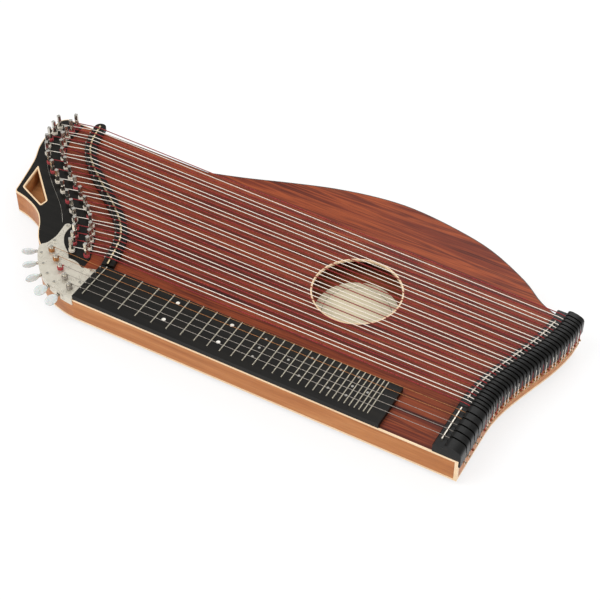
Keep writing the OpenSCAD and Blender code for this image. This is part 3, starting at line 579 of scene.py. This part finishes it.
silver, red, steelWires, brassWires = [], [], [], []
for i in range(stringLook["chords"]):
    isRed = (stringLook["chords"] - 1 - i) in stringLook["red"]
    r = stringLook["wound"] if isRed else stringLook["plain"]
    start, end = chordStart(i), chordEnd(i)
    free = freeEnd(start, jointPlace(f"turn_pin_{i + 1:02d}"))
    rod = topZ + stringLook["overRod"] + r + stringLook["touch"]
    route = [at(*free, windingLook["servingHigh"]), at(*start, rod)]
    route += [at(end[0] + dx, end[1], z) for dx, z in tailRoute(r)]
    (red if isRed else silver).append(wire("string", route, r / 1000))
for j in range(5):
    y = stringLook["melodyY"] + stringLook["melodyPitch"] * j
    r = stringLook["melody"]
    free = freeEnd((stringLook["guideX"], y), jointPlace(f"turn_post_{5 - j}"))
    bar = topZ + stringLook["overBar"] + r + stringLook["touch"]
    route = [at(*free, windingLook["postHigh"]),
             at(stringLook["guideX"], y, bar - stringLook["dip"]), at(0, y, bar)]
    route += [at(stringLook["bridgeX"] + dx, y, z) for dx, z in tailRoute(r)]
    (brassWires if j > 2 else steelWires).append(wire("string", route, r / 1000))
stringPieces = [dressed(joined(silver, "silverStrings"), silverString),
                dressed(joined(red, "redStrings"), redString),
                dressed(joined(steelWires, "steelStrings"), bareSteel),
                dressed(joined(brassWires, "brassStrings"), bareBrass)]
for piece in stringPieces:
    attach(piece, "instrument")
    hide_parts("strings")
print("strings strung")


# ---- windings on the tuning pins and posts

def winding(name, centre, angle, high, material):
    look = windingLook
    nothingSelected()
    bpy.ops.mesh.primitive_circle_add(
        vertices=8, radius=look["wire"] / 1000, fill_type="NGON",
        location=(look["radius"] / 1000, 0, 0), rotation=(math.pi / 2, 0, 0))
    coil = bpy.context.view_layer.objects.active
    bpy.ops.object.transform_apply(location=True, rotation=True, scale=True)
    bpy.ops.object.mode_set(mode="EDIT")
    bpy.ops.mesh.select_all(action="SELECT")
    bpy.ops.mesh.delete(type="ONLY_FACE")
    bpy.ops.object.mode_set(mode="OBJECT")
    turn = coil.modifiers.new("turns", "SCREW")
    turn.angle, turn.iterations = math.radians(360), look["turns"]
    turn.screw_offset = -look["pitch"] / 1000
    turn.steps = turn.render_steps = 20
    turn.use_merge_vertices = False
    makeActive(coil)
    bpy.ops.object.modifier_apply(modifier="turns")
    # both ends closed, the first one drawn out to meet the string
    mesh = coil.data
    reach = look["wire"] / 1000 + 1e-6
    bottom = look["pitch"] * look["turns"] / 1000
    seam = [v for v in mesh.vertices if abs(v.co.y) < 1e-6]
    topEnd = [v.index for v in seam if abs(v.co.z) < reach]
    lowEnd = [v.index for v in seam if abs(v.co.z + bottom) < reach]
    for ends, stub in ((topEnd, look["stub"]), (lowEnd, 0)):
        bpy.ops.object.mode_set(mode="EDIT")
        bpy.ops.mesh.select_mode(type="VERT")
        bpy.ops.mesh.select_all(action="DESELECT")
        bpy.ops.object.mode_set(mode="OBJECT")
        for index in ends:
            mesh.vertices[index].select = True
        bpy.ops.object.mode_set(mode="EDIT")
        bpy.ops.mesh.edge_face_add()
        if stub:
            bpy.ops.mesh.extrude_region_move(TRANSFORM_OT_translate={"value": (0, -stub / 1000, 0)})
        bpy.ops.object.mode_set(mode="OBJECT")
    coil.rotation_euler = (0, 0, angle)
    coil.location = at(centre[0], centre[1], high)
    coil = settled(coil, 60)
    coil.name = name
    return dressed(coil, material)


whiteSilk = silkMaterial("whiteSilk", rgb(232, 224, 210), rgb(196, 186, 170))
redSilk = silkMaterial("redSilk", rgb(186, 38, 44), rgb(128, 20, 28))
postFinish = (bareBrass, bareBrass, redSilk, bareSteel, bareSteel)
for i in range(stringLook["chords"]):
    isRed = (stringLook["chords"] - 1 - i) in stringLook["red"]
    centre = jointPlace(f"turn_pin_{i + 1:02d}")
    angle = touching(chordStart(i), centre, windingLook["cadRadius"])
    coil = winding(f"winding_{i + 1:02d}", centre, angle, windingLook["servingHigh"],
                   redSilk if isRed else whiteSilk)
    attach(coil, f"tuning_pin_{i + 1:02d}")
for k in range(5):
    y = stringLook["melodyY"] + stringLook["melodyPitch"] * (4 - k)
    centre = jointPlace(f"turn_post_{k + 1}")
    angle = touching((stringLook["guideX"], y), centre, windingLook["cadRadius"])
    coil = winding(f"post_winding_{k + 1}", centre, angle, windingLook["postHigh"], postFinish[k])
    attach(coil, f"post_{k + 1}")
print("windings wound")


# ---- worm shafts and pearl buttons

buttonLook = {
    "length": 16.1, "width": 11.0, "thick": 3.8, "fuller": 0.1, "crown": 38, "rim": 0.7, "rounds": 3,
    "reach": (34.5, 37, 38.5, 35.5, 29.5), "roll": (72, 72, 78, -38, -33), "first": 211, "step": 12,
    "low": 4,     # the shafts lie this far under the top
    "ferrule": 0.4, "past": 0.1,     # where the shaft is cut, and how far the button stands out
    "insets": (0.78, 0.68, 0.5),
}


def shaft(k):
    # the worm as it is, cut where its button begins
    fan = math.radians(buttonLook["first"] + buttonLook["step"] * k)
    out = Vector((math.cos(fan), math.sin(fan), 0))
    past = (buttonLook["reach"][k] - buttonLook["length"] + buttonLook["ferrule"]) / 1000
    nothingSelected()
    worm = bpy.data.objects.new(f"worm_shaft_{k + 1}", frame["nodes"][f"worm_{k + 1}"].data.copy())
    bpy.context.scene.collection.objects.link(worm)
    makeActive(worm)
    bpy.ops.mesh.customdata_custom_splitnormals_clear()
    bpy.ops.object.mode_set(mode="EDIT")
    bpy.ops.mesh.select_all(action="SELECT")
    bpy.ops.mesh.remove_doubles(threshold=0.000002)
    axis = at(*jointPlace(f"turn_button_{k + 1}"), topZ - buttonLook["low"])
    bpy.ops.mesh.bisect(plane_co=axis + out * past, plane_no=out, use_fill=True, clear_outer=True)
    bpy.ops.object.mode_set(mode="OBJECT")
    worm = settled(worm, 40)
    dressed(worm, steel)
    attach(worm, f"worm_{k + 1}")
    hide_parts(f"worm_{k + 1}")


def button(k):
    # a flat oval, a little fuller towards its tip, both faces crowned and the rim rounded over
    look = buttonLook
    nothingSelected()
    bpy.ops.mesh.primitive_circle_add(vertices=60, radius=1, fill_type="NGON", location=(0, 0, 0))
    pearl = bpy.context.view_layer.objects.active
    for v in pearl.data.vertices:
        turn = math.atan2(v.co.y, v.co.x)
        v.co.x = look["length"] / 2000 * math.cos(turn)
        v.co.y = look["width"] / 2000 * math.sin(turn) * (1 + look["fuller"] * math.cos(turn))
    bpy.ops.object.mode_set(mode="EDIT")
    bpy.ops.mesh.select_mode(type="FACE")
    bpy.ops.mesh.select_all(action="SELECT")
    bpy.ops.transform.translate(value=(0, 0, -0.001))
    bpy.ops.mesh.extrude_region_move(TRANSFORM_OT_translate={"value": (0, 0, 0.002)})
    bpy.ops.object.mode_set(mode="OBJECT")
    for side in (1, -1):
        bpy.ops.object.mode_set(mode="EDIT")
        bpy.ops.mesh.select_all(action="DESELECT")
        bpy.ops.object.mode_set(mode="OBJECT")
        for face in pearl.data.polygons:
            face.select = len(face.vertices) > 50 and face.center.z * side > 0
        bpy.ops.object.mode_set(mode="EDIT")
        for size in look["insets"]:
            bpy.ops.mesh.extrude_region_move(TRANSFORM_OT_translate={"value": (0, 0, 0)})
            bpy.ops.transform.resize(value=(size, size, 1))
        bpy.ops.object.mode_set(mode="OBJECT")
    for v in pearl.data.vertices:
        drop = look["crown"] - math.sqrt(look["crown"] ** 2 - (v.co.x ** 2 + v.co.y ** 2) * 1e6)
        v.co.z = math.copysign(look["thick"] / 2 - drop, v.co.z) / 1000
    rim = pearl.modifiers.new("rim", "BEVEL")
    rim.width, rim.segments = look["rim"] / 1000, look["rounds"]
    rim.limit_method, rim.angle_limit = "ANGLE", math.radians(50)
    fan = math.radians(look["first"] + look["step"] * k)
    wx, wy = jointPlace(f"turn_button_{k + 1}")
    reach = look["reach"][k] - look["length"] / 2 + look["past"]
    place = at(wx + reach * math.cos(fan), wy + reach * math.sin(fan), topZ - look["low"])
    pearl.matrix_world = (Matrix.Translation(place) @ Matrix.Rotation(fan, 4, "Z")
                          @ Matrix.Rotation(math.radians(look["roll"][k]), 4, "X"))
    pearl = settled(pearl, 60)
    pearl.name = f"button_{k + 1}"
    dressed(pearl, pearlFinish)
    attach(pearl, f"worm_{k + 1}")
    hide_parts(f"worm_{k + 1}")


pearlFinish = pearlMaterial()
for k in range(5):
    shaft(k)
    button(k)
print("buttons fitted")


# ---- string loops on the hitch pins

loopLook = {"ring": 1.42, "wire": 0.38, "past": 24.9, "z": topZ - 14, "lean": 6, "melodyLean": 4}


def stringLoop(x, y, turn):
    look = loopLook
    nothingSelected()
    bpy.ops.mesh.primitive_torus_add(
        major_segments=16, minor_segments=8, major_radius=look["ring"] / 1000,
        minor_radius=look["wire"] / 1000, location=at(x + look["past"], y, look["z"]),
        rotation=(0, math.radians(90), math.radians(turn)))
    return bpy.context.view_layer.objects.active


loopRings = {True: [], False: []}
for i in range(stringLook["chords"]):
    isRed = (stringLook["chords"] - 1 - i) in stringLook["red"]
    loopRings[isRed].append(stringLoop(*chordEnd(i), loopLook["lean"] * (1 if i % 2 else -1)))
for j in range(5):
    y = stringLook["melodyY"] + stringLook["melodyPitch"] * j
    loopRings[j == 2].append(stringLoop(stringLook["bridgeX"], y, loopLook["melodyLean"]))
for isRed, rings in loopRings.items():
    name = "red_loops" if isRed else "pale_loops"
    loops = dressed(settled(joined(rings, name), 60), redSilk if isRed else whiteSilk)
    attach(loops, "instrument")
print("loops on the hitch pins")


# ---- tail cap: the same humped bar, with its rims broken and its ends closed clean

capShape = {"rim": 0.28, "rounds": 2, "sharpest": 50, "smooth": 40, "weld": 0.000002, "near": 0.000005}
nothingSelected()
cap = bpy.data.objects.new("humped_cap", frame["nodes"]["tail_cap"].data.copy())
bpy.context.scene.collection.objects.link(cap)
makeActive(cap)
bpy.ops.mesh.customdata_custom_splitnormals_clear()
bpy.ops.object.mode_set(mode="EDIT")
bpy.ops.mesh.select_all(action="SELECT")
bpy.ops.mesh.remove_doubles(threshold=capShape["weld"])
bpy.ops.object.mode_set(mode="OBJECT")
ends = (min(v.co.y for v in cap.data.vertices), max(v.co.y for v in cap.data.vertices))
bpy.ops.object.mode_set(mode="EDIT")
for end in ends:
    bpy.ops.mesh.select_mode(type="FACE")
    bpy.ops.mesh.select_all(action="DESELECT")
    bpy.ops.object.mode_set(mode="OBJECT")
    for face in cap.data.polygons:
        sides = [cap.data.vertices[i].co.y - end for i in face.vertices]
        face.select = all(abs(side) < capShape["near"] for side in sides)
    bpy.ops.object.mode_set(mode="EDIT")
    bpy.ops.mesh.delete(type="FACE")
    bpy.ops.mesh.select_mode(type="VERT")
    bpy.ops.mesh.select_all(action="DESELECT")
    bpy.ops.object.mode_set(mode="OBJECT")
    for v in cap.data.vertices:
        v.select = abs(v.co.y - end) < capShape["near"]
    bpy.ops.object.mode_set(mode="EDIT")
    bpy.ops.mesh.edge_face_add()
bpy.ops.mesh.select_all(action="SELECT")
bpy.ops.mesh.dissolve_limited(angle_limit=math.radians(0.5))
bpy.ops.mesh.normals_make_consistent(inside=False)
bpy.ops.object.mode_set(mode="OBJECT")
rims = cap.modifiers.new("rims", "BEVEL")
rims.width, rims.segments = capShape["rim"] / 1000, capShape["rounds"]
rims.limit_method, rims.angle_limit = "ANGLE", math.radians(capShape["sharpest"])
makeActive(cap)
bpy.ops.object.modifier_apply(modifier="rims")
cap = settled(cap, capShape["smooth"])
flats = cap.modifiers.new("flats", "WEIGHTED_NORMAL")
flats.keep_sharp = True
makeActive(cap)
bpy.ops.object.modifier_apply(modifier="flats")
dressed(cap, capWood)
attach(cap, "instrument")
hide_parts("tail_cap")
print("tail cap softened")


# ---- light line in the head plate

lineLook = {
    "radius": 0.18, "z": topZ + 0.2, "steps": 6,
    "points": ((-178.9, 196.2), (-173.4, 184), (-163.3, 167.9), (-149.6, 153.9), (-135, 140.5),
               (-121.6, 129.2), (-109.5, 118.5), (-99.1, 107.4), (-90.1, 95.7)),
}


def smoothed(points, steps):
    # a smooth curve through all the points
    out = []
    for k in range(len(points) - 1):
        a, b = points[max(k - 1, 0)], points[k]
        c, d = points[k + 1], points[min(k + 2, len(points) - 1)]
        for step in range(steps):
            t = step / steps
            spot = []
            for p, q, r, s in zip(a, b, c, d):
                square = (2 * p - 5 * q + 4 * r - s) * t * t
                spot.append(0.5 * (2 * q + (r - p) * t + square + (3 * q - 3 * r + s - p) * t ** 3))
            out.append(tuple(spot))
    return out + [points[-1]]


course = smoothed(lineLook["points"], lineLook["steps"])
headLine = wire("head_line", [at(x, y, lineLook["z"]) for x, y in course], lineLook["radius"] / 1000)
dressed(headLine, nickel)
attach(headLine, "instrument")
print("head line inlaid")


# ---- paper disc under the sound hole

discLook = {
    "radius": 46.5, "thick": 0.3, "x": 253, "y": 154.5, "z": 9, "ring": (37.7, 38.3), "edge": 0.08,
}
nothingSelected()
middle = at(discLook["x"], discLook["y"], discLook["z"] + discLook["thick"] / 2)
bpy.ops.mesh.primitive_cylinder_add(vertices=96, radius=discLook["radius"] / 1000,
                                    depth=discLook["thick"] / 1000, location=middle)
disc = bpy.context.view_layer.objects.active
bpy.ops.object.mode_set(mode="EDIT")
bpy.ops.mesh.select_all(action="SELECT")
bpy.ops.mesh.bevel(offset=discLook["edge"] / 1000, segments=1)
bpy.ops.object.mode_set(mode="OBJECT")
disc = settled(disc)
disc.name = "paper_disc"
dressed(disc, paperMaterial())
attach(disc, "instrument")
print("paper disc laid")


# ---- screws of the machine plate

screwLook = {
    "places": ((-78.6, 65.6), (-79.8, 42.4), (-67.9, 29.7), (-54.8, 19.2), (-40.6, 11.9),
               (-15.8, 24.7), (-15.6, 45.9), (-80.4, 92.4)),
    "radius": 1.7, "high": 0.7, "slot": 0.35, "seat": topZ + 1,
    "rim": 0.45, "raised": 0.18, "blade": (6, 0.8), "bladeUp": 0.15, "turned": 40,
}


def screw(number, x, y):
    look = screwLook
    nothingSelected()
    bpy.ops.mesh.primitive_cylinder_add(vertices=24, radius=look["radius"] / 1000,
                                        depth=look["high"] / 1000,
                                        location=at(x, y, look["seat"] + look["high"] / 2))
    head = bpy.context.view_layer.objects.active
    bpy.ops.object.transform_apply(location=False, rotation=True, scale=True)
    bpy.ops.object.mode_set(mode="EDIT")
    bpy.ops.mesh.select_mode(type="FACE")
    bpy.ops.mesh.select_all(action="DESELECT")
    bpy.ops.object.mode_set(mode="OBJECT")
    for face in head.data.polygons:
        face.select = face.normal.z > 0.9
    bpy.ops.object.mode_set(mode="EDIT")
    bpy.ops.mesh.inset(thickness=look["rim"] / 1000, depth=look["raised"] / 1000)
    bpy.ops.object.mode_set(mode="OBJECT")
    nothingSelected()
    top = look["seat"] + look["high"]
    bpy.ops.mesh.primitive_cube_add(size=1, location=at(x, y, top + look["bladeUp"]))
    blade = bpy.context.view_layer.objects.active
    blade.scale = (look["blade"][0] / 1000, look["slot"] / 1000, look["blade"][1] / 1000)
    blade.rotation_euler = (0, 0, math.radians(look["turned"] * number))
    groove = head.modifiers.new("groove", "BOOLEAN")
    groove.operation, groove.solver, groove.object = "DIFFERENCE", "EXACT", blade
    makeActive(head)
    bpy.ops.object.modifier_apply(modifier="groove")
    bpy.data.objects.remove(blade)
    return settled(head)


screws = joined([screw(n, x, y) for n, (x, y) in enumerate(screwLook["places"])], "plate_screws")
dressed(screws, nickel)
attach(screws, "instrument")
print("plate screws in")


# ---- floor, lights and background

def floorMaterial():
    # pale and matt, with a glow that only the camera and reflections see
    f = Finish("paleFloor")
    grain = f.noise(f.stretched((1, 1, 1)), 8, 3, 0.5)
    f.set(Base_Color=f.mixed(grain, (0.93, 0.93, 0.93, 1), (0.96, 0.96, 0.96, 1)), Roughness=0.9)
    glow = f.node("ShaderNodeEmission", Color=(1, 1, 1, 1), Strength=1.0)
    path = f.nodes.new("ShaderNodeLightPath")
    seen = f.math("MAXIMUM", path.outputs["Is Camera Ray"],
                  f.math("MAXIMUM", path.outputs["Is Glossy Ray"], path.outputs["Is Transmission Ray"]))
    blend = f.nodes.new("ShaderNodeMixShader")
    f.link(f.math("MULTIPLY", seen, 0.72), blend.inputs[0])
    f.link(f.shader.outputs[0], blend.inputs[1])
    f.link(glow.outputs[0], blend.inputs[2])
    f.link(blend.outputs[0], f.nodes["Material Output"].inputs["Surface"])
    return f.material


nothingSelected()
bpy.ops.mesh.primitive_plane_add(size=12, location=(0, 0, -0.0002))
floor = bpy.context.view_layer.objects.active
floor.name = "floor"
floor.data.materials.append(floorMaterial())

skyLook = {"lighting": 0.62, "seen": 1.0}
world = bpy.data.worlds.new("softRoom")
bpy.context.scene.world = world
world.use_nodes = True
sky = world.node_tree.nodes
links = world.node_tree.links
path = sky.new("ShaderNodeLightPath")
level = sky.new("ShaderNodeMath")
level.operation = "MAXIMUM"
links.new(path.outputs["Is Camera Ray"], level.inputs[0])
links.new(path.outputs["Is Transmission Ray"], level.inputs[1])
strength = sky.new("ShaderNodeMapRange")
strength.inputs["To Min"].default_value = skyLook["lighting"]
strength.inputs["To Max"].default_value = skyLook["seen"]
links.new(level.outputs[0], strength.inputs["Value"])
links.new(strength.outputs["Result"], sky["Background"].inputs["Strength"])
sky["Background"].inputs["Color"].default_value = (1, 1, 1, 1)

lampLook = {
    "key": {"place": (-0.7, -1.1, 1.9), "size": 1.6, "power": 26},
    "fill": {"place": (1.5, -0.5, 1.1), "size": 1.4, "power": 9},
    "back": {"place": (0.2, 1.6, 1.3), "size": 1.6, "power": 12},
}
for name, look in lampLook.items():
    lamp = bpy.data.lights.new(name, "AREA")
    lamp.shape, lamp.size, lamp.energy = "DISK", look["size"], look["power"]
    holder = bpy.data.objects.new(name, lamp)
    bpy.context.scene.collection.objects.link(holder)
    holder.location = look["place"]
    holder.rotation_mode = "QUATERNION"
    holder.rotation_quaternion = (Vector((0, 0, 0)) - Vector(look["place"])).to_track_quat("-Z", "Y")
bpy.context.scene.view_settings.view_transform = "Standard"
print("floor and lights set")
